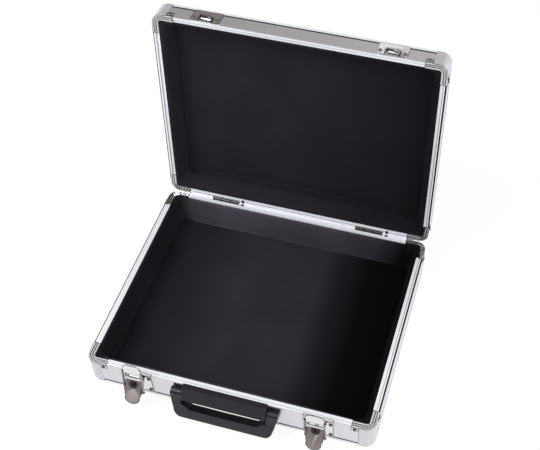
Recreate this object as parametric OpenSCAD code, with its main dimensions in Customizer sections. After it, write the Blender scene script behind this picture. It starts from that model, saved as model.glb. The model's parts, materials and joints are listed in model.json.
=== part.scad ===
// Aluminium attache case, lid open against its hinge stops, latches undone, carrying handle hanging.
// Frame: origin at the centre of the base's underside, +X to the right, +Y to the hinges, +Z up.

/* [Case] */
// Overall width, left to right
case_w = 350; // [300:1:460]
// Overall depth, front face to rear face
case_d = 280; // [240:1:360]
// Height of the base tray
base_h = 42; // [40:1:90]
// Height of the lid tray
lid_h = 28; // [26:1:60]
// Angle of the lid from closed
open_angle = 94.5; // [80:0.5:110]

/* [Shell] */
// Width of the rim seen from above
rim_w = 8; // [7:0.5:12]
// Depth of the rim bars below the parting plane
rim_depth = 10; // [9:0.5:12]
// Thickness of the aluminium side panels and corner caps
skin_t = 1.2; // [0.8:0.1:1.6]
// Wall of the hollow rim bars
bar_wall = 1.5; // [1:0.1:1.8]
// Width of the sealing tongue on the base rim
tongue_w = 3.8; // [3:0.1:4.2]
// Height of the sealing tongue
tongue_h = 0.8; // [0.4:0.1:1.2]
// Height and width of the rounded edge trims
trim_w = 8; // [7:0.5:9]
// Outer radius of the edge trims
trim_r = 4; // [2.5:0.1:5]
// Gap showing between panel and trim
seam = 0.7; // [0.3:0.1:1]
// Radius of the vertical corners
corner_r = 12.5; // [11:0.5:16]
// Length of the corner caps along each side
cap_leg = 18; // [17:0.5:24]
// Length of the rim corner brackets along each side
bracket_leg = 27; // [26:0.5:32]
// Thickness of the rim corner brackets
bracket_t = 1; // [0.8:0.1:1.3]

/* [Lining] */
// Thickness of the floor and top boards
board_t = 3; // [2:0.5:4]
// Thickness of the padded floor and top lining
pad_t = 3; // [2:0.5:5]
// Thickness of the padded walls at their top
lining_t = 3; // [1.5:0.5:5]
// Thickness of the padded walls at their foot
lining_foot = 10; // [5:0.5:12]

/* [Hinges] */
// Distance of each hinge's middle from the case's side
hinge_in = 77; // [60:1:85]
// Length of each hinge
hinge_len = 36; // [28:1:50]
// Radius of the hinge knuckles
knuckle_r = 2.5; // [2.2:0.1:2.8]
// Radius of the hinge pins
hinge_pin_r = 1.2; // [1:0.1:1.4]
// Height of each hinge leaf
leaf_h = 19; // [17:0.5:20]

/* [Latches] */
// Distance of each latch's middle from the case's side
latch_in = 65; // [50:1:70]
// Width of the latch plates
latch_w = 36; // [35:0.5:40]
// Height of the latch plates
latch_h = 32; // [31:0.5:33]
// Angle that each lever stands open
lever_open = 32; // [25:1:40]
// Length of each lever below its pivot
lever_len = 32.5; // [31:0.5:33]
// Distance from the lever's pivot down to the bail pin
bail_drop = 17; // [16.5:0.1:17.5]
// Height of each bail above its pin
bail_len = 45; // [43:0.5:46]
// Lean of the left bail towards the lid
left_lean = 7; // [0:0.5:7]
// Lean of the right bail towards the lid
right_lean = 0; // [0:0.5:7]
// Radius of the key cylinders
lock_r = 4.2; // [3.8:0.1:4.2]

/* [Handle] */
// Length of the handle housing
housing_w = 102; // [90:1:110]
// Width of each ear of the grip
ear_w = 13.5; // [11:0.5:15]
// Reach of the grip from its pivot to its outer edge
grip_reach = 33.5; // [31:0.5:33.5]
// Width of the grip's bar
grip_bar = 14; // [12:0.5:15]
// Thickness of the grip
grip_t = 12; // [10:0.5:12]
// Angle that the grip hangs below level
grip_angle = 69; // [60:1:69]
// Radius of the handle pins
handle_pin_r = 2; // [1.5:0.1:2.5]

/* [Fasteners] */
// Radius of the rivet heads
rivet_head_r = 2.7; // [2.2:0.1:2.7]
// Radius of the rivet shanks
rivet_r = 1.6; // [1.2:0.1:1.8]

/* [Fits] */
// Gap between the closed rims
rim_gap = 0.3; // [0.2:0.05:0.4]
// Running clearance of the pins in their holes
pin_clear = 0.05; // [0.03:0.01:0.09]
// Side clearance between moving pieces
side_clear = 0.4; // [0.3:0.05:0.5]

/* [Hidden] */
$fn = 64;
eps = 0.01;
FRONT = 0;
RIGHT = 1;
REAR = 2;
LEFT = 3;
SIDES = [FRONT, RIGHT, REAR, LEFT];

// Shell
part_z = base_h;
top_z = -rim_gap / 2;
bracket_top = -rim_gap / 2 - 0.05;
seat_z = bracket_top - bracket_t;
recess_side = 0.4;
recess_z = -(tongue_h + rim_gap);
panel_end = 0.2;
cap_inner_r = corner_r - skin_t;
bracket_inner_r = 3;
skirt_t = 0.7;
skirt_h = 7.4;
groove_w = 0.9;
groove_deep = 0.5;
groove_pitch = 2.6;
board_inset = 4.5;
lining_top = 1.4;

// Hinges
hinge_x = case_w / 2 - hinge_in;
hinge_y = case_d / 2 + 0.5;
leaf_t = 1.2;
notch_r = knuckle_r + 0.6;
notch_len = hinge_len + 1;
stop_slot = [3.4, 4.2, 5];
stop_slot_gap = 3.3;
leaf_start = 3.4;
hinge_rivets = [-12, 0, 12];

// Latch: heights are below the parting plane, depths are in front of the case's front face
latch_x = case_w / 2 - latch_in;
plate_t = 1.2;
flange_deep = 2.4;
flange_t = 0.8;
plate_top = -0.2;
pivot_out = 3.2;
pivot_down = 4;
knuckle_half = 8.4;
lever_knuckle_r = 2;
lever_pin_r = 1;
bail_pin_r = 1.1;
bail_pin_in = 0.8;
cheek_t = 1.4;
lever_half = 10.2;
cover_t = 1.4;
cover_out = 4.4;
neck_half = 5.8;
tongue_half = 9.2;
tongue_y = 23.5;
lug_r = 2.4;
lock_drop = 6.8;
lock_back = 1.2;
lock_front = 6.9;
bail_half = 12.1;
bail_arm = 1.5;
bail_t = 1.4;
bail_arm_deep = 2.8;
bail_foot_r = 2.5;
bail_bar = [19.6, 23.8];
bail_window = [23.8, 29.7];
bail_shoulder = 34.6;
plate_rivets = [[-14.8, -6], [14.8, -6], [-14.8, -28], [14.8, -28]];

// Strike
strike_end = 14.4;
strike_z = 6.6;
strike_t = 0.8;
strike_w = 36;
strike_h = [0.6, 21.6];
strike_corner = 3;
peg_half = 6.7;
peg_z = [5.9, 8.5];
peg_out = 5.9;
boss_half = 8.4;
boss_z = [1, 11];
boss_out = 2.4;

// Handle
pivot_y = 6;
pivot_z = 8;
ear_r = 5.7;
grip_out = 5.2;
housing_top = 4;
housing_gap = 0.4;
ear_gap = 0.5;
housing_reach = 12.8;
ear_x = housing_w / 2 + ear_gap;
grip_half = ear_x + ear_w;
pin_in_housing = 5;
pin_in_ear = 10;
screw_x = 38;
screw_z = 14;
screw_r = 1.8;
screw_head_r = 3.6;
screw_head_t = 1.6;

// Fasteners
rivet_head_t = 1.1;
rivet_eye_r = 0.9;
rivet_in = 2.5;
rivet_deep = 5;
corner_rivet = (cap_leg + bracket_leg) / 2;
corner_rivet_z = -4.3;

// ---- Places ----

// The lid is drawn closed, rim down on the parting plane, and turned open about the hinge axis.
module in_lid() {
    translate([0, hinge_y, part_z])
        rotate([-open_angle, 0, 0])
            translate([0, -hinge_y, 0])
                mirror([0, 0, 1]) children();
}

// The base is drawn with its rim on the plane z = 0 and its floor below.
module in_base() translate([0, 0, part_z]) children();

function side_len(side) = side % 2 == 0 ? case_w : case_d;
function side_off(side) = side % 2 == 0 ? case_d / 2 : case_w / 2;

// Turns a piece drawn for the front wall to another wall.
module on_side(side) rotate([0, 0, 90 * side]) children();

// Runs a section, given as [distance in from the outer face, height], along the front of a wall.
module run(side, points, len)
    translate([-len / 2, -side_off(side), 0])
        rotate([90, 0, 90]) linear_extrude(len) polygon(points);

module rounded_plan(inset, r) {
    w = case_w - 2 * inset;
    d = case_d - 2 * inset;
    square([w - 2 * r, d], center = true);
    square([w, d - 2 * r], center = true);
    for (sx = [-1, 1], sy = [-1, 1])
        translate([sx * (w / 2 - r), sy * (d / 2 - r)]) circle(r);
}

module corner_squares(leg)
    for (sx = [-1, 1], sy = [-1, 1])
        translate([sx * (case_w - leg) / 2, sy * (case_d - leg) / 2])
            square([leg, leg], center = true);

// ---- Fasteners ----

// Each entry: [place along the wall, height, height of the seat above the skin, reach into the wall]
function corner_rivets(side) = [for (s = [-1, 1])
    [s * (side_len(side) / 2 - corner_rivet), corner_rivet_z, skirt_t, rivet_in]];
function latch_rivets() = [for (s = [-1, 1], p = plate_rivets)
    [s * latch_x + p[0], p[1], plate_t, p[1] < -rim_depth ? rivet_deep : rivet_in]];
function strike_rivets() = [for (s = [-1, 1], e = [-1, 1])
    [s * latch_x + e * strike_end, -strike_z, strike_t, rivet_in]];
function leaf_rivets(z) = [for (s = [-1, 1], x = hinge_rivets)
    [s * hinge_x + x, z, leaf_t, z < -rim_depth ? rivet_deep : rivet_in]];
leaf_rivet_z = -13.5;
function base_rivet_list(side) = concat(corner_rivets(side),
    side == FRONT ? latch_rivets() : [], side == REAR ? leaf_rivets(leaf_rivet_z) : []);
function lid_rivet_list(side) = concat(corner_rivets(side),
    side == FRONT ? strike_rivets() : [], side == REAR ? leaf_rivets(leaf_rivet_z) : []);

module rivet(side, p)
    translate([p[0], -side_off(side) - p[2], p[1]]) rotate([-90, 0, 0]) {
        translate([0, 0, -rivet_head_t]) difference() {
            cylinder(h = rivet_head_t, r1 = rivet_head_r * 0.7, r2 = rivet_head_r);
            translate([0, 0, -eps]) cylinder(h = rivet_head_t * 0.6, r = rivet_eye_r);
        }
        translate([0, 0, -eps]) cylinder(h = p[2] + p[3], r = rivet_r);
    }

module rivet_holes(side, list)
    for (p = list)
        translate([p[0], -side_off(side) - p[2] - 1, p[1]]) rotate([-90, 0, 0])
            cylinder(h = p[2] + p[3] + 1 + pin_clear, r = rivet_r + pin_clear);

// ---- Shell pieces ----

function base_bar_section() = let (t = rim_w - tongue_w) [
    [skin_t, top_z], [t, top_z], [t, tongue_h], [rim_w, tongue_h],
    [rim_w, -rim_depth], [skin_t, -rim_depth]];
function lid_bar_section() = let (t = rim_w - tongue_w - recess_side) [
    [skin_t, top_z], [t, top_z], [t, recess_z], [rim_w, recess_z],
    [rim_w, -rim_depth], [skin_t, -rim_depth]];
bar_hollow = [[skin_t + bar_wall, -bar_wall - 1.2], [rim_w - bar_wall, -bar_wall - 1.2],
    [rim_w - bar_wall, bar_wall - rim_depth], [skin_t + bar_wall, bar_wall - rim_depth]];

// A wall's share of the plan, mitred at both ends, as far in as "deep".
module bar_plan(side, deep) {
    l = side_len(side) / 2;
    o = side_off(side);
    polygon([[-l, -o], [l, -o], [l - deep, deep - o], [deep - l, deep - o]]);
}

module rim_bar(side, section, holes) {
    len = side_len(side);
    deep = rim_depth + 2;
    on_side(side) difference() {
        intersection() {
            difference() {
                run(side, section, len);
                run(side, bar_hollow, len + 2);
            }
            translate([0, 0, -deep]) linear_extrude(2 * deep) bar_plan(side, rim_w);
            translate([0, 0, -deep]) linear_extrude(2 * deep)
                rotate(-90 * side) rounded_plan(skin_t, cap_inner_r);
        }
        for (s = [-1, 1])
            translate([s * (len - bracket_leg) / 2, -side_off(side) + rim_w / 2, seat_z + 5])
                cube([bracket_leg, rim_w + 2, 10], center = true);
        rivet_holes(side, holes);
    }
}

// Clearance cut in both rear walls round each hinge, and the small slot beside it.
module hinge_notches()
    for (s = [-1, 1]) {
        translate([s * hinge_x - notch_len / 2, hinge_y, 0]) rotate([0, 90, 0])
            cylinder(h = notch_len, r = notch_r);
        translate([s * hinge_x + notch_len / 2 + stop_slot_gap, case_d / 2 - stop_slot[1], -stop_slot[2]])
            cube([stop_slot[0], stop_slot[1] + 1, stop_slot[2] + 1]);
    }

module flange_reliefs()
    for (s = [-1, 1])
        translate([s * latch_x, -case_d / 2 + flange_deep / 2 - 1, plate_top - flange_t + 5])
            cube([latch_w + 0.4, flange_deep + 2.3, 10], center = true);

module panel(side, h, holes) {
    len = side_len(side) - 2 * (cap_leg + panel_end);
    low = trim_w - h;
    on_side(side) difference() {
        run(side, [[0, top_z], [skin_t, top_z], [skin_t, low], [0, low]], len);
        for (s = [-1, 1])
            translate([s * (side_len(side) - bracket_leg) / 2, -side_off(side), seat_z + 5])
                cube([bracket_leg, 4, 10], center = true);
        rivet_holes(side, holes);
    }
}

// Rounded angle section: outer leg up to height "top", inner leg in to the trim's width.
function angle_section(h, top) = concat(
    [[0, top]],
    [for (a = [180:7.5:270]) [trim_r + trim_r * cos(a), trim_r - h + trim_r * sin(a)]],
    [[trim_w, -h], [trim_w, skin_t - h]],
    [for (a = [270:-7.5:180])
        [trim_r + (trim_r - skin_t) * cos(a), trim_r - h + (trim_r - skin_t) * sin(a)]],
    [[skin_t, top]]);

module edge_trims(h)
    for (side = SIDES) on_side(side)
        run(side, angle_section(h, trim_w - seam - h), side_len(side) - 2 * (cap_leg + panel_end));

module corner_caps(h) {
    section = angle_section(h, seat_z);
    leg = cap_leg - corner_r;
    for (side = SIDES) {
        w = side_len(side) / 2 - corner_r;
        o = side_off(side) - corner_r;
        on_side(side) {
            translate([w, -o, 0]) rotate([0, 0, -90]) rotate_extrude(angle = 90)
                polygon([for (p = section) [corner_r - p[0], p[1]]]);
            translate([w - leg, -side_off(side), 0]) rotate([90, 0, 90])
                linear_extrude(leg) polygon(section);
            translate([side_len(side) / 2, -o, 0]) rotate([0, 0, 90]) rotate([90, 0, 90])
                linear_extrude(leg) polygon([for (p = section) [p[0], p[1]]]);
        }
    }
}

module bracket_ring(outer, width) difference() {
    rounded_plan(outer, corner_r - outer);
    rounded_plan(outer + width, max(bracket_inner_r, corner_r - outer - width));
}

module rim_brackets()
    translate([0, 0, seat_z]) difference() {
        linear_extrude(bracket_t) intersection() {
            difference() {
                rounded_plan(0, corner_r);
                rounded_plan(rim_w, bracket_inner_r);
            }
            corner_squares(bracket_leg - 0.1);
        }
        for (k = [0, 1])
            translate([0, 0, bracket_t - groove_deep]) linear_extrude(bracket_t)
                bracket_ring(groove_pitch * (k + 0.75), groove_w);
    }

// Skirts that the rim brackets turn down over the side panels.
module bracket_skirts()
    for (side = SIDES) on_side(side) for (s = [0, 1]) mirror([s, 0, 0])
        difference() {
            translate([side_len(side) / 2 - bracket_leg, -side_off(side) - skirt_t, -skirt_h])
                cube([bracket_leg - cap_leg, skirt_t, skirt_h + bracket_top]);
            rivet_holes(side, corner_rivets(side));
        }

module skin_sheet(h)
    translate([0, 0, -h]) linear_extrude(skin_t) rounded_plan(trim_w, corner_r - trim_w);

module flat_board(h)
    translate([0, 0, skin_t - h]) linear_extrude(board_t)
        rounded_plan(board_inset, corner_r - board_inset);

module flat_pad(h)
    translate([0, 0, skin_t + board_t - h]) linear_extrude(pad_t)
        square([case_w - 2 * rim_w, case_d - 2 * rim_w], center = true);

module wall_boards(h, holes_front, holes_rear) {
    low = skin_t + board_t - h;
    for (side = SIDES) on_side(side) difference() {
        translate([0, 0, low]) linear_extrude(-rim_depth - low) intersection() {
            bar_plan(side, rim_w);
            rotate(-90 * side) rounded_plan(skin_t, cap_inner_r);
        }
        if (side == FRONT) rivet_holes(side, holes_front);
        if (side == REAR) rivet_holes(side, holes_rear);
    }
}

module wall_lining(h) {
    low = skin_t + board_t + pad_t - h;
    foot = rim_w + lining_foot;
    for (side = SIDES) on_side(side) intersection() {
        run(side, [[rim_w, -lining_top], [rim_w + lining_t, -lining_top], [foot, low], [rim_w, low]],
            side_len(side));
        translate([0, 0, low]) linear_extrude(-low) bar_plan(side, foot);
    }
}

// ---- Nodes of the base ----

module base_rim(side) color("gainsboro") in_base() difference() {
    rim_bar(side, base_bar_section(), base_rivet_list(side));
    if (side == REAR) hinge_notches();
    if (side == FRONT) flange_reliefs();
}
module base_panel(side) color("silver") in_base() difference() {
    panel(side, base_h, base_rivet_list(side));
    if (side == REAR) hinge_notches();
    if (side == FRONT) flange_reliefs();
    if (side == FRONT) screw_holes();
}
module base_edge_trims() color("gainsboro") in_base() edge_trims(base_h);
module base_corner_caps() color("silver") in_base() corner_caps(base_h);
module base_rim_brackets() color("lightsteelblue") in_base() {
    rim_brackets();
    bracket_skirts();
}
module base_bottom_panel() color("silver") in_base() skin_sheet(base_h);
module base_floor_board() color("burlywood") in_base() flat_board(base_h);
module base_floor_pad() color("#2a2830") in_base() flat_pad(base_h);
module base_wall_boards() color("burlywood") in_base() difference() {
    wall_boards(base_h, base_rivet_list(FRONT), base_rivet_list(REAR));
    screw_holes();
}
module base_wall_lining() color("#302e36") in_base() wall_lining(base_h);
module base_rivets() color("white") in_base()
    for (side = SIDES) on_side(side) for (p = base_rivet_list(side)) rivet(side, p);

// ---- Nodes of the lid ----

module lid_rim(side) color("gainsboro") in_lid() difference() {
    rim_bar(side, lid_bar_section(), lid_rivet_list(side));
    if (side == REAR) hinge_notches();
}
module lid_panel(side) color("silver") in_lid() difference() {
    panel(side, lid_h, lid_rivet_list(side));
    if (side == REAR) hinge_notches();
}
module lid_edge_trims() color("gainsboro") in_lid() edge_trims(lid_h);
module lid_corner_caps() color("silver") in_lid() corner_caps(lid_h);
module lid_rim_brackets() color("lightsteelblue") in_lid() {
    rim_brackets();
    bracket_skirts();
}
module lid_top_panel() color("silver") in_lid() skin_sheet(lid_h);
module lid_top_board() color("burlywood") in_lid() flat_board(lid_h);
module lid_top_pad() color("#2a2830") in_lid() flat_pad(lid_h);
module lid_wall_boards() color("burlywood") in_lid()
    wall_boards(lid_h, lid_rivet_list(FRONT), lid_rivet_list(REAR));
module lid_wall_lining() color("#302e36") in_lid() wall_lining(lid_h);
module lid_rivets() color("white") in_lid()
    for (side = SIDES) on_side(side) for (p = lid_rivet_list(side)) rivet(side, p);

// ---- Hinges ----

// Knuckles on one side's share of the hinge length, with the leaf below the axis.
module hinge_leaf(spans, whole) difference() {
    union() {
        for (s = spans)
            translate([s[0], hinge_y, 0]) rotate([0, 90, 0]) cylinder(h = s[1] - s[0], r = knuckle_r);
        for (s = spans)
            translate([s[0], case_d / 2, -leaf_start - 1]) cube([s[1] - s[0], leaf_t, leaf_start + 1]);
        translate([-hinge_len / 2, case_d / 2, -leaf_h])
            cube([hinge_len, leaf_t, leaf_h - leaf_start]);
    }
    translate([-hinge_len, hinge_y, 0]) rotate([0, 90, 0])
        cylinder(h = 2 * hinge_len, r = hinge_pin_r + pin_clear);
    for (x = hinge_rivets)
        translate([x, case_d / 2 - 1, leaf_rivet_z]) rotate([-90, 0, 0])
            cylinder(h = leaf_t + 2, r = rivet_r + pin_clear);
}

third = hinge_len / 3;
base_spans = [[-hinge_len / 2, -third / 2 - side_clear / 2], [third / 2 + side_clear / 2, hinge_len / 2]];
lid_spans = [[-third / 2, third / 2]];

module hinge_leaves_base() color("lightgray") in_base()
    for (s = [-1, 1]) translate([s * hinge_x, 0, 0]) hinge_leaf(base_spans);
module hinge_leaves_lid() color("lightgray") in_lid()
    for (s = [-1, 1]) translate([s * hinge_x, 0, 0]) hinge_leaf(lid_spans);
module hinge_pins() color("gray") in_base()
    for (s = [-1, 1]) translate([s * hinge_x - hinge_len / 2, hinge_y, 0])
        rotate([0, 90, 0]) cylinder(h = hinge_len, r = hinge_pin_r);

// ---- Latches ----

// The latch frame: the middle of the latch on the front face, at the parting plane.
module at_latch(s) in_base() translate([s * latch_x, -case_d / 2, 0]) children();

// The lever frame: its pivot, turned open. Pieces in it are drawn as with the lever shut.
module at_lever(s) at_latch(s) translate([0, -pivot_out, -pivot_down])
    rotate([-lever_open, 0, 0]) children();

function lean(s) = s < 0 ? left_lean : right_lean;

// The bail frame: its pin, with the bail standing up along +Z and leaning to the case.
module at_bail(s) at_lever(s) translate([0, -bail_pin_in, -bail_drop])
    rotate([lever_open - lean(s), 0, 0]) children();

module along_x(len) rotate([0, 90, 0]) translate([0, 0, -len / 2]) children();

module latch_plate(s) color("lightsteelblue") at_latch(s) difference() {
    union() {
        translate([-latch_w / 2, -plate_t, plate_top - latch_h + 0.2]) cube([latch_w, plate_t, latch_h - 0.2]);
        translate([-latch_w / 2, -plate_t, plate_top - flange_t])
            cube([latch_w, plate_t + flange_deep, flange_t]);
        translate([-knuckle_half, -pivot_out, -pivot_down - lever_knuckle_r])
            cube([2 * knuckle_half, pivot_out, 2 * lever_knuckle_r]);
        translate([0, -pivot_out, -pivot_down]) along_x(2 * knuckle_half)
            cylinder(h = 2 * knuckle_half, r = lever_knuckle_r);
    }
    translate([0, -pivot_out, -pivot_down]) along_x(40) cylinder(h = 40, r = lever_pin_r);
    for (p = plate_rivets)
        translate([p[0], -plate_t - 1, p[1]]) rotate([-90, 0, 0])
            cylinder(h = plate_t + 2, r = rivet_r + pin_clear);
}

module lever_pins() color("gray")
    for (s = [-1, 1]) at_latch(s) translate([0, -pivot_out, -pivot_down])
        along_x(2 * lever_half) cylinder(h = 2 * lever_half, r = lever_pin_r);

module lever_outline() {
    translate([0, -lock_drop]) circle(lock_r + 2.2);
    translate([-neck_half, -tongue_y]) square([2 * neck_half, tongue_y - lock_drop]);
    polygon([[-neck_half, -lock_drop - 8], [neck_half, -lock_drop - 8],
        [tongue_half, -tongue_y], [-tongue_half, -tongue_y]]);
    intersection() {
        translate([0, -lever_len + tongue_half + 1.5]) circle(tongue_half + 1.5);
        translate([-tongue_half, -lever_len]) square([2 * tongue_half, lever_len - tongue_y + 4]);
    }
}

module cheek_outline() {
    circle(lever_knuckle_r);
    translate([-bail_pin_in, -bail_drop]) circle(lug_r);
    polygon([[lever_knuckle_r, 0], [lug_r - bail_pin_in, -bail_drop],
        [-cover_out - cover_t, -bail_drop - 4], [-cover_out - cover_t, -1.5], [-lever_knuckle_r, 0.6]]);
}

module lever(s) color("lightsteelblue") at_lever(s) difference() {
    union() {
        translate([0, -cover_out, 0]) rotate([90, 0, 0]) linear_extrude(cover_t) {
            lever_outline();
            translate([-lever_half, -bail_drop - 4]) square([2 * lever_half, bail_drop + 2.5]);
        }
        for (e = [-1, 1])
            translate([e * (lever_half - cheek_t / 2) - cheek_t / 2, 0, 0])
                rotate([90, 0, 90]) linear_extrude(cheek_t) cheek_outline();
        translate([0, -cover_out - cover_t, -lock_drop]) rotate([90, 0, 0])
            cylinder(h = 0.7, r = lock_r + 1.2);
    }
    along_x(40) cylinder(h = 40, r = lever_pin_r + pin_clear);
    translate([0, -bail_pin_in, -bail_drop]) along_x(40) cylinder(h = 40, r = bail_pin_r);
    translate([0, 0, -lock_drop]) rotate([90, 0, 0]) cylinder(h = 20, r = lock_r + pin_clear);
}

module lock(s) color("goldenrod") at_lever(s) translate([0, 0, -lock_drop]) rotate([90, 0, 0]) difference() {
    union() {
        translate([0, 0, lock_back]) cylinder(h = lock_front - lock_back, r = lock_r);
        translate([0, 0, lock_back]) cylinder(h = cover_out - lock_back - side_clear, r = lock_r + 0.6);
    }
    translate([-0.5, -lock_r * 0.6, lock_front - 2]) cube([1, lock_r * 1.2, 3]);
}

module bail_pin(s) color("gray") at_lever(s) translate([0, -bail_pin_in, -bail_drop])
    along_x(2 * bail_half + 1.6) cylinder(h = 2 * bail_half + 1.6, r = bail_pin_r);

module bail_plan() difference() {
    union() {
        translate([-bail_half, bail_bar[0]]) square([2 * bail_half, bail_shoulder - bail_bar[0]]);
        intersection() {
            translate([0, bail_shoulder]) circle(bail_half);
            translate([-bail_half, bail_shoulder]) square([2 * bail_half, bail_len - bail_shoulder]);
        }
    }
    translate([-bail_half + 3.6, bail_window[0]])
        square([2 * bail_half - 7.2, bail_window[1] - bail_window[0]]);
}

module bail(s) color("white") at_bail(s) difference() {
    union() {
        rotate([90, 0, 0]) linear_extrude(bail_t, center = true) bail_plan();
        for (e = [-1, 1]) translate([e * (bail_half - bail_arm / 2) - bail_arm / 2, 0, 0]) {
            translate([0, -bail_arm_deep + bail_t / 2, 0]) cube([bail_arm, bail_arm_deep, bail_shoulder]);
            rotate([0, 90, 0]) cylinder(h = bail_arm, r = bail_foot_r);
        }
    }
    along_x(40) cylinder(h = 40, r = bail_pin_r + pin_clear);
}

module at_strike(s) in_lid() translate([s * latch_x, -case_d / 2, 0]) children();

module strike_plan() {
    w = strike_w / 2 - strike_corner;
    translate([-w, -strike_h[1]]) square([2 * w, strike_h[1] - strike_h[0]]);
    translate([-strike_w / 2, strike_corner - strike_h[1]])
        square([strike_w, strike_h[1] - strike_h[0] - 2 * strike_corner]);
    for (sx = [-1, 1], z = [strike_corner - strike_h[1], -strike_h[0] - strike_corner])
        translate([sx * w, z]) circle(strike_corner);
}

module strike(s) color("lightsteelblue") at_strike(s) difference() {
    union() {
        rotate([90, 0, 0]) linear_extrude(strike_t) strike_plan();
        translate([-boss_half, -boss_out, -boss_z[1]])
            cube([2 * boss_half, boss_out, boss_z[1] - boss_z[0]]);
        translate([-peg_half, -peg_out, -peg_z[1]]) cube([2 * peg_half, peg_out, peg_z[1] - peg_z[0]]);
    }
    for (e = [-1, 1])
        translate([e * strike_end, -strike_t - 1, -strike_z]) rotate([-90, 0, 0])
            cylinder(h = strike_t + 2, r = rivet_r + pin_clear);
}

// ---- Handle ----

// The handle frame: its pivot axis, in the middle of the front face.
module at_handle() in_base() translate([0, -case_d / 2 - pivot_y, -pivot_z]) children();

housing_section = [[0, -12], [0, pivot_z - 0.5], [-housing_gap, pivot_z - 0.5],
    [-housing_gap, pivot_z + housing_top], [-7.5, pivot_z + housing_top],
    [-15, -1.7], [-14.4, -3.4], [-10.5, -5.4], [-6.5, -7.6], [-4.5, -12]];

module handle_housing() color("#3a393d") difference() {
    in_base() translate([-housing_w / 2, -case_d / 2, -pivot_z])
        rotate([90, 0, 90]) linear_extrude(housing_w) polygon(housing_section);
    at_handle() for (s = [-1, 1])
        translate([s * (housing_w / 2 - pin_in_housing / 2 + 1), 0, 0]) along_x(pin_in_housing + 2)
            cylinder(h = pin_in_housing + 2, r = handle_pin_r);
    in_base() screw_holes();
}

// Outline of the grip in its own plane: [x, distance from the pivot].
grip_shoulder = 20;
grip_stop = 1.6;
grip_corner = 12;
function grip_outer() = concat(
    [[grip_half, -ear_r], [grip_half, 2], [grip_half - 4.5, grip_shoulder]],
    [for (a = [15:15:90]) [grip_half - 4.5 - grip_corner + grip_corner * cos(a) * 0.98,
        grip_reach - grip_corner - 1 + grip_corner * sin(a)]],
    [[0, grip_reach]]);
function grip_inner() = let (b = grip_reach - grip_bar) [
    [0, b], [ear_x - 12, b - 0.4], [ear_x - 8, b - 2], [ear_x - 5.5, b - 4.5],
    [ear_x, housing_reach], [ear_x, -ear_r]];
function mirrored(p) = concat(p, [for (i = [len(p) - 1:-1:0]) if (p[i][0] != 0) [-p[i][0], p[i][1]]]);

module grip_plan() difference() {
    polygon(mirrored(grip_outer()));
    polygon(mirrored([for (i = [len(grip_inner()) - 1:-1:0]) grip_inner()[i]]));
}

// Side view of the grip, which keeps the ears round their pivot.
module grip_side() {
    circle(ear_r);
    polygon([[0, ear_r - 0.1], [0, 0], [ear_r, 0]]);
    translate([grip_stop, grip_out - grip_t]) square([grip_reach - grip_stop - 3, grip_t]);
    translate([grip_stop, grip_out - grip_t + 3]) square([grip_reach - grip_stop, grip_t - 6]);
    for (w = [grip_out - 3, grip_out - grip_t + 3])
        translate([grip_reach - 3, w]) circle(3);
    translate([0, 0]) square([6, grip_out]);
}

module handle_grip() color("#343338") at_handle() rotate([grip_angle, 0, 0]) difference() {
    mirror([0, 1, 0]) intersection() {
        translate([0, 0, -20]) linear_extrude(40) grip_plan();
        rotate([90, 0, 90]) translate([0, 0, -grip_half]) linear_extrude(2 * grip_half) grip_side();
    }
    for (s = [-1, 1])
        translate([s * (ear_x + pin_in_ear / 2 - 1), 0, 0]) along_x(pin_in_ear + 2)
            cylinder(h = pin_in_ear + 2, r = handle_pin_r + pin_clear);
}

module handle_pins() color("gray") at_handle() for (s = [-1, 1])
    translate([s * (housing_w / 2 + (pin_in_ear - pin_in_housing) / 2), 0, 0])
        along_x(pin_in_ear + pin_in_housing) cylinder(h = pin_in_ear + pin_in_housing - 0.6, r = handle_pin_r);

module screws(grow) for (s = [-1, 1])
    translate([s * screw_x, rim_w - case_d / 2, -screw_z]) rotate([90, 0, 0]) {
        cylinder(h = screw_head_t + grow, r = screw_head_r + grow);
        cylinder(h = rim_w + 3.5 + grow, r = screw_r + grow / 2);
    }
module screw_holes() translate([0, eps, 0]) screws(pin_clear);
module handle_screws() color("gray") in_base() screws(0);

base_rim(FRONT);  // base_rim_front
base_rim(REAR);  // base_rim_rear
base_rim(LEFT);  // base_rim_left
base_rim(RIGHT);  // base_rim_right
base_panel(FRONT);  // base_panel_front
base_panel(REAR);  // base_panel_rear
base_panel(LEFT);  // base_panel_left
base_panel(RIGHT);  // base_panel_right
base_edge_trims();
base_corner_caps();
base_rim_brackets();
base_bottom_panel();
base_floor_board();
base_floor_pad();
base_wall_boards();
base_wall_lining();
base_rivets();
lid_rim(FRONT);  // lid_rim_front
lid_rim(REAR);  // lid_rim_rear
lid_rim(LEFT);  // lid_rim_left
lid_rim(RIGHT);  // lid_rim_right
lid_panel(FRONT);  // lid_panel_front
lid_panel(REAR);  // lid_panel_rear
lid_panel(LEFT);  // lid_panel_left
lid_panel(RIGHT);  // lid_panel_right
lid_edge_trims();
lid_corner_caps();
lid_rim_brackets();
lid_top_panel();
lid_top_board();
lid_top_pad();
lid_wall_boards();
lid_wall_lining();
lid_rivets();
hinge_leaves_base();
hinge_leaves_lid();
hinge_pins();
latch_plate(-1);  // latch_plate_left
latch_plate(1);  // latch_plate_right
lever_pins();
lever(-1);  // lever_left
lever(1);  // lever_right
lock(-1);  // lock_left
lock(1);  // lock_right
bail_pin(-1);  // bail_pin_left
bail_pin(1);  // bail_pin_right
bail(-1);  // bail_left
bail(1);  // bail_right
strike(-1);  // strike_left
strike(1);  // strike_right
handle_housing();
handle_grip();
handle_pins();
handle_screws();
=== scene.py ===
# %% [markdown]
# An aluminium attache case, open
#
# The solid pieces of the case come ready made at their real size, and this lesson dresses them.
# It eases their edges, sews the black lining, gives every surface its finish, and sets up a
# plain studio. The case lies in metres, with +X to the right, +Y to the hinges and +Z up.

# %% Load the case
import math
import json

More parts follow.
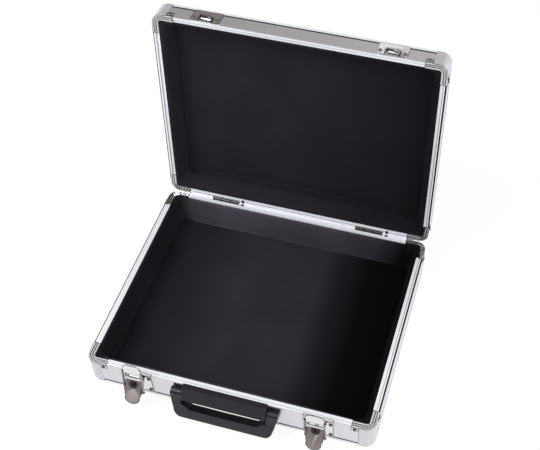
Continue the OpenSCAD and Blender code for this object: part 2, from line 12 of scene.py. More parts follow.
import bmesh
import bpy
from mathutils import Matrix, Vector, noise


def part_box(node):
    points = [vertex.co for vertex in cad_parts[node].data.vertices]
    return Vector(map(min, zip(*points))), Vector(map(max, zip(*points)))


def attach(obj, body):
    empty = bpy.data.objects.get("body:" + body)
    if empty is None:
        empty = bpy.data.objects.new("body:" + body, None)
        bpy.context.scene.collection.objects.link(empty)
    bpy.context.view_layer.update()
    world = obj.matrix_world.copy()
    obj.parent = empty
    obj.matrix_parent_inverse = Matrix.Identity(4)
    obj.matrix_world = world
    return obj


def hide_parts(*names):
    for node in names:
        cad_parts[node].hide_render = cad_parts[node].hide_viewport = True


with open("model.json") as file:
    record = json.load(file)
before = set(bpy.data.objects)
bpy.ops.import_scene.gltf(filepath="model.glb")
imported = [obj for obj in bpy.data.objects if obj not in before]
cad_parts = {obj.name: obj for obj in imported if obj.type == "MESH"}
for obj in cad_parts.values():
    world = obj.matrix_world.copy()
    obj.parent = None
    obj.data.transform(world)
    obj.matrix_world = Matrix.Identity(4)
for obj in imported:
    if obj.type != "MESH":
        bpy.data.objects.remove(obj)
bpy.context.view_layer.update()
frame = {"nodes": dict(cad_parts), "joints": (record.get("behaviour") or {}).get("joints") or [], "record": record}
MM = 0.001
print("pieces:", len(frame["nodes"]))

# %% [markdown]
# The camera
#
# A small product is shot from above the front edge with a long lens, so that the far edge of
# the lid stays large. The camera stands to the right of the case and looks down at about 49
# degrees. Its place, its turn and its small shift are given by named values.

# %% Camera
CAMERA_PLACE = Vector((277.5, -689.8, 1066.5)) * MM
CAMERA_TURN = 16.65
CAMERA_DIP = 49.08
CAMERA_ROLL = 0.87
CAMERA_LENS = 68.28
CAMERA_SHIFT = (-0.0883, -0.0324)


def camera_matrix(place, turn, dip, roll):
    """A camera at a place, turned to the left, dipped towards the floor and rolled, in degrees."""
    stand = Matrix.Rotation(math.radians(turn), 4, "Z")
    look = Matrix.Rotation(math.radians(90 - dip), 4, "X")
    tilt = Matrix.Rotation(math.radians(-roll), 4, "Z")
    return Matrix.Translation(place) @ stand @ look @ tilt


camera = bpy.data.objects.new("camera", bpy.data.cameras.new("camera"))
bpy.context.scene.collection.objects.link(camera)
camera.matrix_world = camera_matrix(CAMERA_PLACE, CAMERA_TURN, CAMERA_DIP, CAMERA_ROLL)
camera.data.lens = CAMERA_LENS
camera.data.shift_x, camera.data.shift_y = CAMERA_SHIFT
bpy.context.scene.camera = camera
print("camera", camera.location)

# %% [markdown]
# Two helpers for materials
#
# Colours are written as the hex codes of a paint chart, which a screen shows. A shader wants
# linear light, so one function turns them. Another adds a node to a material, sets it up and
# links its inputs, which keeps each finish to a few lines.

# %% Material helpers


def colour(code):
    """An sRGB hex colour as linear RGBA."""
    parts = [int(code[i : i + 2], 16) / 255 for i in (1, 3, 5)]
    return tuple(p / 12.92 if p < 0.04045 else ((p + 0.055) / 1.055) ** 2.4 for p in parts) + (1,)


def add_node(tree, kind, settings=None, **inputs):
    """A new node. settings are its options, and inputs are values, or sockets to link."""
    node = tree.nodes.new(kind)
    for key, value in (settings or {}).items():
        setattr(node, key, value)
    for key, value in inputs.items():
        name = key.replace("_", " ")
        socket = node.inputs[int(key[1:])] if key[1:].isdigit() else node.inputs[name]
        if isinstance(value, bpy.types.NodeSocket):
            tree.links.new(value, socket)
        else:
            socket.default_value = value
    return node


def new_material(name):
    """An empty node material, and its tree."""
    material = bpy.data.materials.new(name)
    material.use_nodes = True
    material.node_tree.nodes.clear()
    return material, material.node_tree


def finish_material(tree, shader):
    """Sends a shader to the material's surface."""
    out = tree.nodes.new("ShaderNodeOutputMaterial")
    tree.links.new(shader.outputs[0], out.inputs["Surface"])


def place_on_piece(tree, stretch=(1, 1, 1)):
    """Object coordinates in millimetres, stretched along an axis for a drawn or brushed grain."""
    where = add_node(tree, "ShaderNodeTexCoord")
    scale = [s / MM for s in stretch]
    return add_node(
        tree, "ShaderNodeMapping", Vector=where.outputs["Object"], Scale=scale
    ).outputs["Vector"]


print("helpers ready")

# %% [markdown]
# Metals
#
# The rims and edge trims are extruded aluminium, etched and clear anodised. That leaves a satin
# grey-white metal with a very fine grain. The side panels are rolled sheet with a smoother skin,
# and the corner caps are pressed and lacquered silver, so they are the softest. The rims and
# caps are set less metallic than bare metal, which keeps them pale under these lamps.
#
# The latch plates, bails, strikes and corner brackets are steel with bright chrome plate. The
# levers and key cylinders are nickel plated, which is greyer and warmer, and the pins and
# hinges are drawn steel. In a room, the rolled edges of bright plate mirror something dark. A
# white studio has little dark to show them, so a Bevel node finds the edges and paints them
# dark: a painted reflection. That is a stand-in: it belongs to the finish and doesn't move with
# the view.

# %% Metals
BROAD_PATCH = 55
PAINTED_EDGE_REACH = 1.8
PAINTED_EDGE_TURN = (0.993, 0.93)


def satin_metal(name, code, roughness, spread, grain, bump, metallic=1.0, rim=None):
    """A metal whose roughness wanders by spread over broad patches, with a grain of that many
    millimetres. With a rim colour, the last stretch to an edge or a fold is painted that colour, a
    painted reflection of a dark room."""
    material, tree = new_material(name)
    where = place_on_piece(tree)
    fine = add_node(tree, "ShaderNodeTexNoise", Vector=where, Scale=1 / grain, Detail=3.0)
    broad = add_node(tree, "ShaderNodeTexNoise", Vector=where, Scale=1 / BROAD_PATCH, Detail=2.0)
    rough = add_node(
        tree,
        "ShaderNodeMapRange",
        Value=broad.outputs["Fac"],
        From_Min=0.3,
        From_Max=0.7,
        To_Min=roughness - spread,
        To_Max=roughness + spread,
    )
    relief = add_node(
        tree, "ShaderNodeBump", Height=fine.outputs["Fac"], Strength=bump, Distance=0.05 * MM
    )
    shader = add_node(
        tree,
        "ShaderNodeBsdfPrincipled",
        Base_Color=colour(code),
        Metallic=metallic,
        Roughness=rough.outputs["Result"],
        Normal=relief.outputs["Normal"],
    )
    # Painted reflection: with a rim colour, the edges are painted dark.
    if rim:
        tint = painted_edge_reflection(tree, code, rim)
        tree.links.new(tint, shader.inputs["Base Color"])
    finish_material(tree, shader)
    return material


def painted_edge_reflection(tree, code, rim):
    """The colour code, painted over with rim where a rounded normal leaves the true one: a painted
    reflection of dark on rolled edges.
    """
    rounded = add_node(tree, "ShaderNodeBevel", {"samples": 12}, Radius=PAINTED_EDGE_REACH * MM)
    true = tree.nodes.new("ShaderNodeNewGeometry")
    agree = add_node(
        tree,
        "ShaderNodeVectorMath",
        {"operation": "DOT_PRODUCT"},
        i0=rounded.outputs["Normal"],
        i1=true.outputs["True Normal"],
    )
    near = add_node(
        tree,
        "ShaderNodeMapRange",
        Value=agree.outputs["Value"],
        From_Min=PAINTED_EDGE_TURN[0],
        From_Max=PAINTED_EDGE_TURN[1],
        To_Min=0.0,
        To_Max=1.0,
    )
    tint = add_node(
        tree,
        "ShaderNodeMix",
        {"data_type": "RGBA"},
        i0=near.outputs["Result"],
        i6=colour(code),
        i7=colour(rim),
    )
    return tint.outputs[2]


ANODISED = satin_metal(
    "anodised_aluminium", "#dfe1e7", roughness=0.42, spread=0.05, grain=0.5, bump=0.25, metallic=0.35
)
SHEET = satin_metal(
    "rolled_aluminium_sheet", "#dad9e0", roughness=0.38, spread=0.012, grain=0.9, bump=0.2
)
CAP = satin_metal(
    "lacquered_corner_cap", "#cfced3", roughness=0.45, spread=0.02, grain=1.2, bump=0.15, metallic=0.85
)
CHROME = satin_metal(
    "polished_chrome_plate", "#e2e0e3", roughness=0.1, spread=0.03, grain=3.0, bump=0.05, rim="#1d1a1e"
)
# Painted reflection: the rivets are a darker copy of the chrome, for the dark their domes mirror.
RIVET_PAINTED_DARK = satin_metal(
    "chromed_rivet_painted_dark", "#868083", roughness=0.22, spread=0.04, grain=2.0, bump=0.05, rim="#2c292d"
)
STEEL = satin_metal(
    "drawn_steel", "#4e4d4a", roughness=0.3, spread=0.05, grain=0.8, bump=0.1, rim="#1f1d1f"
)
NICKEL = satin_metal(
    "nickel_plate", "#5f5759", roughness=0.2, spread=0.04, grain=2.0, bump=0.05, rim="#1b191b"
)
# Painted light: the levers are a lighter copy of the nickel, for the white floor they mirror.
LEVER_PAINTED_LIGHT = satin_metal(
    "nickelled_lever_painted_light", "#aca4a3", roughness=0.16, spread=0.03, grain=3.0, bump=0.05, rim="#2c292d"
)
print("metals ready")

# %% [markdown]
# Black velour, black plastic and board
#
# The lining is short-pile velour glued over foam. Its pile catches a little light at a grazing
# angle, so it gets a faint sheen, and it is brushed in patches that are lighter or darker. A
# ramp of stops also takes it from light at the left to nearly black at the right. That ramp is
# painted shade: the stops are matched to how the light falls off across the open case, not to a
# tone of the velour, and a neutral lining has every stop at 1. The handle is moulded in black ABS
# with a fine spark-eroded texture. The boards are raw plywood.

# %% Soft and plastic finishes
BRUSHED_PATCH = 60
PLY_GRAIN = 3


def painted_shade_share(tree, sweep):
    """Painted shade from left to right across the velour, from (millimetres, share) stops."""
    where = add_node(tree, "ShaderNodeSeparateXYZ", Vector=place_on_piece(tree))
    first, last = sweep[0][0], sweep[-1][0]
    place = add_node(
        tree, "ShaderNodeMapRange", Value=where.outputs["X"], From_Min=first, From_Max=last
    )
    ramp = add_node(tree, "ShaderNodeValToRGB", Fac=place.outputs["Result"])
    stops = ramp.color_ramp.elements
    for reach, share in sweep[1:-1]:
        stops.new((reach - first) / (last - first)).color = (share, share, share, 1)
    stops[0].color = (sweep[0][1],) * 3 + (1,)
    stops[-1].color = (sweep[-1][1],) * 3 + (1,)
    return ramp.outputs["Color"]


def velour(name, dark, light, pile, sweep):
    """Short pile in millimetres, brushed in patches, with painted shade darker at one end of its sweep."""
    material, tree = new_material(name)
    where = place_on_piece(tree)
    patch = add_node(tree, "ShaderNodeTexNoise", Vector=where, Scale=1 / BRUSHED_PATCH, Detail=3.0)
    nap = add_node(tree, "ShaderNodeTexNoise", Vector=where, Scale=1 / pile, Detail=2.0)
    tint = add_node(
        tree,
        "ShaderNodeMix",
        {"data_type": "RGBA"},
        i0=patch.outputs["Fac"],
        i6=colour(dark),
        i7=colour(light),
    )
    tone_and_painted_shade = add_node(
        tree,
        "ShaderNodeMix",
        {"data_type": "RGBA", "blend_type": "MULTIPLY"},
        i0=1.0,
        i6=tint.outputs[2],
        i7=painted_shade_share(tree, sweep),
    )
    relief = add_node(
        tree, "ShaderNodeBump", Height=nap.outputs["Fac"], Strength=0.5, Distance=0.3 * MM
    )
    shader = add_node(
        tree,
        "ShaderNodeBsdfPrincipled",
        Base_Color=tone_and_painted_shade.outputs[2],
        Roughness=0.9,
        Sheen_Weight=0.05,
        Sheen_Roughness=0.4,
        Sheen_Tint=colour("#6a6470"),
        Specular_IOR_Level=0.05,
        Normal=relief.outputs["Normal"],
    )
    finish_material(tree, shader)
    return material


def moulded_plastic(name, code, roughness, grain, gloss=0.5):
    """Plastic with a spark-eroded texture that many millimetres across."""
    material, tree = new_material(name)
    where = place_on_piece(tree)
    spark = add_node(tree, "ShaderNodeTexNoise", Vector=where, Scale=1 / grain, Detail=2.0)
    relief = add_node(
        tree, "ShaderNodeBump", Height=spark.outputs["Fac"], Strength=0.3, Distance=0.1 * MM
    )
    shader = add_node(
        tree,
        "ShaderNodeBsdfPrincipled",
        Base_Color=colour(code),
        Roughness=roughness,
        Specular_IOR_Level=gloss,
        Specular_Tint=colour("#e6e0f2"),
        Normal=relief.outputs["Normal"],
    )
    finish_material(tree, shader)
    return material


def plywood(name):
    """Raw board with its grain drawn out from left to right."""
    material, tree = new_material(name)
    where = place_on_piece(tree, (0.08, 1, 1))
    grain = add_node(tree, "ShaderNodeTexNoise", Vector=where, Scale=1 / PLY_GRAIN, Detail=5.0)
    tint = add_node(
        tree,
        "ShaderNodeMix",
        {"data_type": "RGBA"},
        i0=grain.outputs["Fac"],
        i6=colour("#8a6a45"),
        i7=colour("#c9a878"),
    )
    shader = add_node(
        tree, "ShaderNodeBsdfPrincipled", Base_Color=tint.outputs[2], Roughness=0.7
    )
    finish_material(tree, shader)
    return material


# Painted shade: these stops darken each lining from left to right, as light falls off across the case.
FLOOR_SHADE_SWEEP = [(-150, 0.4), (-110, 0.5), (-45, 0.88), (0, 0.8), (50, 0.8), (78, 0.3), (110, 0.06)]
WALL_SHADE_SWEEP = [(-158, 0.16), (-142, 0.7), (-100, 1), (-20, 0.78), (60, 0.68), (110, 0.5), (145, 0.06)]
LID_SHADE_SWEEP = [(-150, 0.8), (0, 0.76), (80, 0.52), (150, 0.38)]
PILE = 0.6
SPARK = 0.7
FLOOR_VELOUR = velour("floor_velour", "#222128", "#322f37", PILE, FLOOR_SHADE_SWEEP)
WALL_VELOUR = velour("wall_velour", "#35323a", "#4d4953", PILE, WALL_SHADE_SWEEP)
LID_VELOUR = velour("lid_velour", "#1e1d23", "#2c2a31", PILE, LID_SHADE_SWEEP)
ABS = moulded_plastic("moulded_black_abs", "#131216", roughness=0.3, grain=SPARK)
BOARD = plywood("raw_plywood")
print("soft and plastic finishes ready")

# %% [markdown]
# Finishes for the record's slots
#
# Every solid piece already says which material slot it belongs to. One table maps those slots
# to the finishes above, and a second names the few pieces that differ from their slot.

# %% Assign the finishes
SLOT_FINISH = {
    "anodised_rim": ANODISED,
    "aluminium_panel": SHEET,
    "satin_cap": CAP,
    "bright_chrome": CHROME,
    "bright_steel": STEEL,
    "nickel_lock": NICKEL,
    "black_plastic": ABS,
    "black_velour": FLOOR_VELOUR,
    "plywood": BOARD,
}
NODE_FINISH = {
    "base_rivets": RIVET_PAINTED_DARK,
    "lid_rivets": RIVET_PAINTED_DARK,
    "lever_left": LEVER_PAINTED_LIGHT,
    "lever_right": LEVER_PAINTED_LIGHT,
    "base_wall_lining": WALL_VELOUR,
    "lid_wall_lining": LID_VELOUR,
    "lid_top_pad": LID_VELOUR,
}
NODE_SLOT = {s["node"]: s["material_slot"] for s in frame["record"]["subparts"]}


def finish_of(node_name):
    """The finish of a solid: its own, or else its slot's."""
    return NODE_FINISH.get(node_name, SLOT_FINISH[NODE_SLOT[node_name]])


for node_name, node_object in frame["nodes"].items():
    node_object.data.materials.clear()
    node_object.data.materials.append(finish_of(node_name))
print("finishes assigned")

# %% [markdown]
# Eased edges
#
# No real edge is perfectly sharp: a sheared sheet, a casting and a moulding all have a small
# radius that catches a line of light. A copy of each solid in the rim, panel, cap, chrome and
# nickel slots, and of the two handle pieces, has its triangles merged into whole faces, and a
# Bevel modifier rounds every edge that turns by more than 32 degrees.

# %% Ease the edges
SAME_POINT = 1e-6
FLAT_WITHIN = 0.5
EASED_TURN = 32


def body_of_node(name):
    """The moving body that a solid belongs to."""
    bodies = frame["record"]["behaviour"]["bodies"]
    return next(body for body, nodes in bodies.items() if name in nodes)


def take_place(piece, node_name):
    """The piece stands for a solid: it rides on the same body and takes its slot and finish."""
    if not piece.data.materials:
        piece.data.materials.append(finish_of(node_name))
    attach(piece, body_of_node(node_name))
    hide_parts(node_name)
    return piece


def mesh_object(name, shape):
    """A linked object from a bmesh, which is freed."""
    data = bpy.data.meshes.new(name)
    shape.to_mesh(data)
    shape.free()
    piece = bpy.data.objects.new(name, data)
    bpy.context.scene.collection.objects.link(piece)
    return piece


def smooth(piece, angle):
    """Smooth shading, with a crease wherever faces turn by more than that angle in degrees."""
    piece.data.shade_smooth()
    piece.data.set_sharp_from_angle(angle=math.radians(angle))


def eased(node_name, width, segments=2, angle=EASED_TURN):
    """A copy of a solid with edges rounded to that radius in millimetres."""
    shape = bmesh.new()
    shape.from_mesh(frame["nodes"][node_name].data)
    bmesh.ops.remove_doubles(shape, verts=shape.verts, dist=SAME_POINT)
    bmesh.ops.dissolve_limit(
        shape, angle_limit=math.radians(FLAT_WITHIN), verts=shape.verts, edges=shape.edges
    )
    piece = mesh_object(node_name + "_eased", shape)
    smooth(piece, angle)
    bevel = piece.modifiers.new("edge", "BEVEL")
    bevel.width = width * MM
    bevel.segments = segments
    bevel.limit_method = "ANGLE"
    bevel.angle_limit = math.radians(angle)
    bevel.harden_normals = True
    return take_place(piece, node_name)


EDGE_RADII = {
    "anodised_rim": 0.4,
    "aluminium_panel": 0.25,
    "satin_cap": 0.35,
    "bright_chrome": 0.25,
    "nickel_lock": 0.3,
}
for node_name, slot_name in NODE_SLOT.items():
    if slot_name in EDGE_RADII:
        eased(node_name, EDGE_RADII[slot_name])
eased("handle_housing", 1.2, 3)
eased("handle_grip", 2.2, 4)
print("edges eased")

# %% [markdown]
# The padded lining
#
# Foam sheets covered in velour lie on the floor and in the lid, with velour strips round the
# walls. A pad is a flat block with a faint swell and a few creases, so each one is a finely
# divided grid whose points are moved by a smooth noise and pressed down along the creases. Its
# border is then drawn down to the board and closed.

# %% Pads
PAD_COLUMNS, PAD_ROWS = 170, 134
PAD_SWELL, PAD_FOLD, PAD_SINK = 0.5, 0.3, 0.4
LID_HINGE = next(j for j in frame["joints"] if j["name"] == "lid_hinge")
LID_OPEN = math.radians(LID_HINGE["range_deg"][1])


def opened(place):
    """The matrix that takes a piece drawn with the lid shut to where the open lid is."""
    hinge = Vector(LID_HINGE["pos_m"])
    turn = Matrix.Rotation(-LID_OPEN, 4, "X")
    return Matrix.Translation(hinge) @ turn @ Matrix.Translation(-hinge) @ place


def local_box(node_name, matrix):
    """The box of a solid once a matrix has brought it back to its own flat frame."""
    points = [matrix @ v.co for v in frame["nodes"][node_name].data.vertices]
    low = Vector([min(p[i] for p in points) for i in range(3)])
    high = Vector([max(p[i] for p in points) for i in range(3)])
    return low, high


# Creases in a pad's plan, in millimetres from its middle: corner points, depth and width.
FLOOR_CREASES = [
    ([(-93, 48), (-103, 10), (-112, -26)], 0.7, 2.2),
    ([(-74, -59), (-62, -58), (-51, -55)], 0.5, 2.5),
    ([(-103, 112), (-95, 102)], 0.6, 3.0),
]
LID_CREASES = [
    ([(-152, -78), (-148, -18), (-150, 30), (-154, 100)], 0.8, 2.5),
    ([(-130, 26), (-123, 12), (-109, 1), (-90, -8)], 0.4, 3.0),
    ([(-140, 112), (0, 108), (106, 113)], 0.7, 3.0),
]


def crease_at(x, y, creases):
    """How far the creases press the pad down at a point of its plan, in millimetres."""
    here = Vector((x, y))
    pressed = 0
    for corners, depth, width in creases:
        for start, end in zip(corners, corners[1:]):
            start, run = Vector(start), Vector(end) - Vector(start)
            share = max(0, min(1, (here - start).dot(run) / run.length_squared))
            away = (here - start - run * share).length
            pressed = max(pressed, depth * math.exp(-((away / width) ** 2)))
    return pressed


def pad(node_name, home, face, creases, seed):
    """A padded slab in the space of a solid. home takes the solid to a flat frame, and face is
    1 where the soft side faces up there, or -1 where it faces down."""
    low, high = local_box(node_name, home)
    size = high - low
    middle = (low + high) / 2
    shape = bmesh.new()
    bmesh.ops.create_grid(shape, x_segments=PAD_COLUMNS, y_segments=PAD_ROWS, size=0.5)
    bmesh.ops.scale(shape, verts=shape.verts, vec=(size.x, size.y, 1))
    bmesh.ops.translate(shape, verts=shape.verts, vec=(middle.x, middle.y, 0))
    top = high.z if face > 0 else low.z
    for v in shape.verts:
        wave = noise.noise(Vector((v.co.x * 14, v.co.y * 14, seed)))
        fold = noise.noise(Vector((v.co.x * 9, v.co.y * 30, seed + 5)))
        pressed = crease_at((v.co.x - middle.x) / MM, (v.co.y - middle.y) / MM, creases)
        v.co.z = top + face * MM * (PAD_SWELL * wave + PAD_FOLD * fold - pressed - PAD_SINK)
    skirt = bmesh.ops.extrude_edge_only(shape, edges=[e for e in shape.edges if e.is_boundary])
    base = low.z if face > 0 else high.z
    for v in skirt["geom"]:
        if isinstance(v, bmesh.types.BMVert):
            v.co.z = base
    bmesh.ops.contextual_create(shape, geom=[e for e in shape.edges if e.is_boundary])
    bmesh.ops.recalc_face_normals(shape, faces=shape.faces)
    bmesh.ops.transform(shape, matrix=home.inverted(), verts=shape.verts)
    piece = mesh_object(node_name + "_velour", shape)
    smooth(piece, 60)
    take_place(piece, node_name)
    return piece


LID_HOME = opened(Matrix.Identity(4)).inverted()
pad("base_floor_pad", Matrix.Identity(4), 1, FLOOR_CREASES, 3.0)
pad("lid_top_pad", LID_HOME, -1, LID_CREASES, 8.0)
print("pads sewn")

# %% [markdown]
# The padded walls
#
# The walls are lined with one strip of foam that is thin under the rim and thick at its foot,
# folded into each corner and covered in the same velour. Its cross-section is drawn once, then
# extruded from step to step round the four walls. The rings lie on mitre lines at the corners,
# and the points there are smoothed, because foam can't fold to a sharp edge.

# %% Wall strips
WALL_STEPS = 22
STRIP_THIN, STRIP_THICK = 3.0, 10.0
CORNER_REACH = 9
BACK_SKIN, WAVED_SKIN = 2, 2.5
WALL_WAVE = 0.8


def wall_section(thin, thick):
    """The strip's section as (distance in from its back, share of the way from rim to foot)."""
    points = [(0, 1), (0, 0.02), (thin * 0.4, 0.0), (thin * 0.8, 0.008)]
    for k in (0.04, 0.12, 0.25, 0.4, 0.55, 0.7, 0.82, 0.91, 0.97):
        swell = 0.7 * math.sin(math.pi * k)
        points.append((thin + (thick - thin) * k + swell, k))
    points.append((thick + 0.4, 1))
    return points


def wall_padding(node_name, home, face, raised, seed):
    """The padded strip round the walls in the space of a solid. home and face are as for a pad,
    and the strip's top edge stands raised millimetres past the solid's."""
    low, high = local_box(node_name, home)
    top, foot = (high.z, low.z) if face > 0 else (low.z, high.z)
    top += face * raised * MM
    middle = (low + high) / 2
    half = (high - low) / 2
    section = wall_section(STRIP_THIN, STRIP_THICK)

    def ring_point(side, share, inset, down):
        along, across = (half.x, half.y) if side % 2 == 0 else (half.y, half.x)
        turn = Matrix.Rotation(math.pi / 2 * side, 3, "Z")
        flat = turn @ Vector((share * (along - inset), inset - across, 0))
        return Vector((middle.x + flat.x, middle.y + flat.y, top + (foot - top) * down))

    places = [(side, -1 + 2 * k / WALL_STEPS) for side in range(4) for k in range(WALL_STEPS)]
    places.append((3, 1.0))
    shape = bmesh.new()
    first = [shape.verts.new(ring_point(0, -1, u * MM, k)) for u, k in section]
    edges = [
        shape.edges.new((first[i], first[(i + 1) % len(first)])) for i in range(len(first))
    ]
    last = first
    for side, share in places[1:]:
        made = bmesh.ops.extrude_edge_only(shape, edges=edges)["geom"]
        verts = [v for v in made if isinstance(v, bmesh.types.BMVert)]
        edges = [e for e in made if isinstance(e, bmesh.types.BMEdge)]
        for v in verts:
            index = min(range(len(last)), key=lambda i: (last[i].co - v.co).length)
            u, k = section[index]
            v.co = ring_point(side, share, u * MM, k)
        order = [ring_point(side, share, u * MM, k) for u, k in section]
        last = [min(verts, key=lambda v: (v.co - place).length) for place in order]
    bmesh.ops.remove_doubles(shape, verts=shape.verts, dist=1e-5)
    corner_verts = [
        v
        for v in shape.verts
        if abs(abs(v.co.x - middle.x) - abs(v.co.y - middle.y) - half.x + half.y) < CORNER_REACH * MM
        and min(half.x - abs(v.co.x - middle.x), half.y - abs(v.co.y - middle.y)) > BACK_SKIN * MM
    ]
    for _ in range(3):
        bmesh.ops.smooth_vert(
            shape, verts=corner_verts, factor=0.4, use_axis_x=True, use_axis_y=True
        )
    for v in shape.verts:
        depth = min(half.x - abs(v.co.x - middle.x), half.y - abs(v.co.y - middle.y))
        if depth > WAVED_SKIN * MM:
            wave = noise.noise(Vector((v.co.x * 22, v.co.y * 22, v.co.z * 60 + seed)))
            inward = Vector((middle.x - v.co.x, middle.y - v.co.y, 0)).normalized()
            v.co += inward * wave * WALL_WAVE * MM
    bmesh.ops.recalc_face_normals(shape, faces=shape.faces)
    bmesh.ops.transform(shape, matrix=home.inverted(), verts=shape.verts)
    piece = mesh_object(node_name + "_velour", shape)
    smooth(piece, 50)
    take_place(piece, node_name)
    return piece


wall_padding("base_wall_lining", Matrix.Identity(4), 1, 1.2, 2.0)
wall_padding("lid_wall_lining", LID_HOME, -1, 0.5, 6.0)
print("walls padded")

# %% [markdown]
# Dark joints
#
# Each side panel stops just short of its edge trim, its sheared top edge meets the rim, and the
# rim has a fine groove at the foot of its tongue. Those joints read as black lines, as if filled
# with sealer. Thin black strips stand for it, drawn for the front wall and turned to the other
# walls. They are drawn coarser than the gaps in the solids, 2.2 mm for a seam of 0.7 mm, so that
# they show at this size. A black strip where each rim meets the lining is painted shade and no
# joint. A dark line along the outer edge of the rims at the sides is matched to the look of the
# case, wider on the right than on the left, and isn't a joint.

# %% Sealer in the joints, and painted shade under the rims
SEALER_AND_SHADE = moulded_plastic("black_sealer_and_painted_shade", "#0c0b0d", roughness=0.8, grain=SPARK, gloss=0.15)
WALL_TURN = {"front": 0, "right": 1, "rear": 2, "left": 3}
HALF_RIM_GAP = 0.15
PART_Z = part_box("base_panel_front")[1][2] + HALF_RIM_GAP * MM
HALF_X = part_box("base_panel_right")[1][0]
HALF_Y = -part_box("base_panel_front")[0][1]


def strips(name, body, face, home, rows):
    """Black strips in one half of the case. Each row has the wall, how far in from its face the
    strip starts and ends, how deep below the parting plane, and its two ends along the wall."""
    shape = bmesh.new()
    for wall, near, far, high, low, start, end in rows:
        turn = WALL_TURN[wall]
        off = HALF_Y if turn % 2 == 0 else HALF_X
        made = bmesh.ops.create_cube(shape, size=1)["verts"]
        size = Vector((end - start, far - near, low - high)) * MM
        middle = Vector((start + end, near + far, -(high + low) * face)) * MM / 2
        middle += Vector((0, -off, 0))
        bmesh.ops.scale(shape, verts=made, vec=size)
        bmesh.ops.translate(shape, verts=made, vec=middle)
        bmesh.ops.rotate(
            shape, verts=made, cent=(0, 0, 0), matrix=Matrix.Rotation(math.pi / 2 * turn, 3, "Z")
        )
    bmesh.ops.translate(shape, verts=shape.verts, vec=(0, 0, PART_Z))
    bmesh.ops.transform(shape, matrix=home.inverted(), verts=shape.verts)
    piece = mesh_object(name, shape)
    piece.data.materials.append(SEALER_AND_SHADE)
    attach(piece, body)
    return piece


CAP_END = 18.2
BRACKET_END = 27.0
HINGE_MIDDLE = 98.0
PROUD = 0.04
SEAM_HIGH = 2.2
GROOVE_WIDE = {"front": 0.25, "right": 0.5, "rear": 0.5, "left": 0.5}
# Painted shade: a black strip where the rim meets the lining, in from the face and below the parting plane.
INNER_SHADE_LINE = (7.4, 8.04, 1.0, 1.85)
EDGE_LINE_WIDE = {"right": 1.9, "left": 0.8}
BLOCK_SECTION = (0.1, 4.1, 0.2, 4.9)
BLOCK_SPAN = (21.9, 25.1)


def joint_rows(seam_deep, groove_in):
    """The lines of one half: the panel seams, the groove in the rim, a painted shade line along its
    inner face where the rim meets the lining, and the outer edges at the sides."""
    rows = []
    for wall, turn in WALL_TURN.items():
        length = (HALF_Y if turn % 2 else HALF_X) / MM
        seam = length - CAP_END
        groove = length - BRACKET_END
        groove_out = groove_in + GROOVE_WIDE[wall]
        rows.append((wall, -PROUD, 0.5, seam_deep, seam_deep + SEAM_HIGH, -seam, seam))
        rows.append((wall, groove_in, groove_out, 0.11, 0.5, -groove, groove))
        rows.append((wall, *INNER_SHADE_LINE, -groove, groove))
    for wall, wide in EDGE_LINE_WIDE.items():
        length = HALF_Y / MM - BRACKET_END
        rows.append((wall, -PROUD, wide, 0.11, 0.6, -length, length))
    return rows


def buffer_rows():
    """The small stop block beside each hinge. The rear wall is drawn turned, so x is mirrored."""
    near, far = BLOCK_SPAN
    middles = (-HINGE_MIDDLE, HINGE_MIDDLE)
    return [("rear", *BLOCK_SECTION, -x - far, -x - near) for x in middles]


strips("base_sealer_and_painted_shade", "base", 1, Matrix.Identity(4), joint_rows(32.9, 3.75) + buffer_rows())
strips("lid_sealer_and_painted_shade", "lid", -1, LID_HOME, joint_rows(19.1, 3.35) + buffer_rows())
print("joints sealed")

# %% [markdown]
# The studio
#
# The case stands on a white sweep under large soft lamps. The floor shows white to the camera
# and to mirrors, yet still takes a little of the shadow under the case. Lamps stay at a plain
# level so that a colour renders about as it is written.

# %% Floor
material, tree = new_material("white_sweep")
path = add_node(tree, "ShaderNodeLightPath")
seen = add_node(
    tree,
    "ShaderNodeMath",
    {"operation": "MAXIMUM"},
    i0=path.outputs["Is Camera Ray"],
    i1=path.outputs["Is Glossy Ray"],
)
share = add_node(tree, "ShaderNodeMath", {"operation": "MULTIPLY"}, i0=seen.outputs[0], i1=0.9)
paper = add_node(tree, "ShaderNodeBsdfDiffuse", Color=colour("#ffffff"))
glow = add_node(tree, "ShaderNodeEmission", Color=colour("#ffffff"), Strength=1.0)
sweep = add_node(
    tree, "ShaderNodeMixShader", i0=share.outputs[0], i1=paper.outputs[0], i2=glow.outputs[0]
)
finish_material(tree, sweep)
shape = bmesh.new()
bmesh.ops.create_grid(shape, x_segments=1, y_segments=1, size=4.0)
floor = mesh_object("floor", shape)
floor.data.materials.append(material)
print("floor laid")

# %% Cards for the metal to mirror


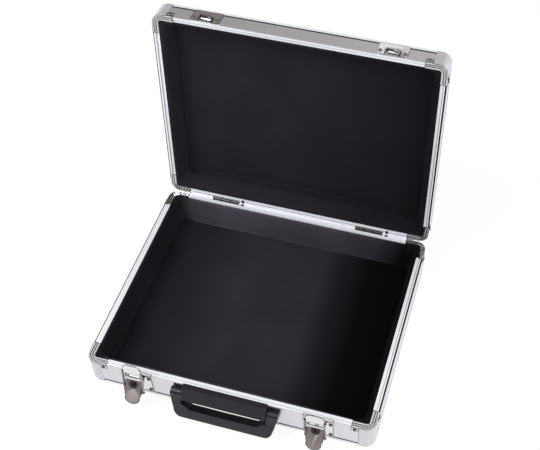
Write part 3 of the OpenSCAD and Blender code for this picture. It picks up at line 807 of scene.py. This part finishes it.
def card(name, place, aim, width, height, code):
    """A grey card that only mirrors see: it gives polished metal something dark to show.
    width and height are in metres."""
    material, tree = new_material(name)
    finish_material(tree, add_node(tree, "ShaderNodeEmission", Color=colour(code), Strength=1.0))
    shape = bmesh.new()
    bmesh.ops.create_grid(shape, x_segments=1, y_segments=1, size=0.5)
    bmesh.ops.scale(shape, verts=shape.verts, vec=(width, height, 1))
    turn = (Vector(aim) - Vector(place)).to_track_quat("Z", "Y").to_matrix().to_4x4()
    bmesh.ops.transform(shape, matrix=Matrix.Translation(place) @ turn, verts=shape.verts)
    piece = mesh_object(name, shape)
    piece.data.materials.append(material)
    piece.visible_camera = False
    piece.visible_diffuse = False
    piece.visible_shadow = False
    return piece


card("ceiling_card", (0.75, 2.2, 2.0), (0, 0, 0.2), 2.2, 2.0, "#b0a8a1")
card("dim_ceiling_card", (-1.35, 2.2, 2.0), (-0.6, 0, 0.2), 2.0, 2.0, "#8d8784")
card("room_card", (-1.2, -3.0, 0.85), (0, 0, 0.1), 5.4, 1.6, "#6d6260")
card("overhead_card", (-0.5, 0.83, 1.94), (0, -0.14, 0.04), 0.4, 0.8, "#100f10")
print("cards set")

# %% Lamps and world


def lamp(name, place, aim, size, watts):
    """A square soft lamp that looks at a point."""
    light = bpy.data.lights.new(name, "AREA")
    light.size = size
    light.energy = watts
    item = bpy.data.objects.new(name, light)
    item.matrix_world = Matrix.Translation(place) @ (
        (Vector(aim) - Vector(place)).to_track_quat("-Z", "Y").to_matrix().to_4x4()
    )
    bpy.context.scene.collection.objects.link(item)
    return item


lamp("key", Vector((-1.1, -0.7, 1.7)), (0, 0, 0.1), 1.2, 34)
lamp("fill", Vector((1.6, -0.35, 0.9)), (0, 0, 0.1), 1.4, 24)
world = bpy.data.worlds.new("studio")
world.use_nodes = True
tree = world.node_tree
tree.nodes.clear()
path = add_node(tree, "ShaderNodeLightPath")
seen = add_node(
    tree,
    "ShaderNodeMath",
    {"operation": "MAXIMUM"},
    i0=path.outputs["Is Camera Ray"],
    i1=path.outputs["Is Glossy Ray"],
)
room = add_node(tree, "ShaderNodeBackground", Color=colour("#ffffff"), Strength=0.55)
white = add_node(tree, "ShaderNodeBackground", Color=colour("#ffffff"), Strength=1.0)
both = add_node(
    tree, "ShaderNodeMixShader", i0=seen.outputs[0], i1=room.outputs[0], i2=white.outputs[0]
)
out = tree.nodes.new("ShaderNodeOutputWorld")
tree.links.new(both.outputs[0], out.inputs["Surface"])
bpy.context.scene.world = world
bpy.context.scene.view_settings.view_transform = "Standard"
print("lamps set")
